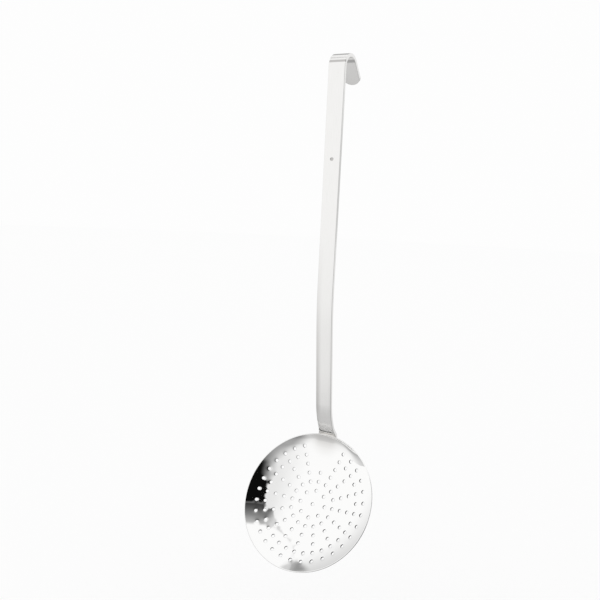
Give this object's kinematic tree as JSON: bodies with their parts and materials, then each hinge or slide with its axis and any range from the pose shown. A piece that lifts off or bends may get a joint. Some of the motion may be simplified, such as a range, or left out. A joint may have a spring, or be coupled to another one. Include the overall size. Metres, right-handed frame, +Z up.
{
  "type": "skimmer",
  "caption": "Hand skimmer: a shallow round perforated dish welded to a long flat strip handle, with a bent-back hook at the top for hanging on a rail.",
  "frame": {"origin": "top of the inside of the hook, where it bears on a rail", "axes": "+Z up along the straight shank, -Y the way the hollow of the dish faces, +Y the way the hook is bent, +X to the right of someone facing the hollow"},
  "size_m": [0.12, 0.0796, 0.4295],
  "materials": {
    "polished_steel": "polished",
    "satin_steel": "satin, brushed along the strip",
    "weld_steel": "dull"
  },
  "bodies": {
    "root": {"perforated_dish": "polished_steel", "handle": "satin_steel", "spot_weld_1": "weld_steel", "spot_weld_2": "weld_steel", "spot_weld_3": "weld_steel"}
  },
  "joints": []
}
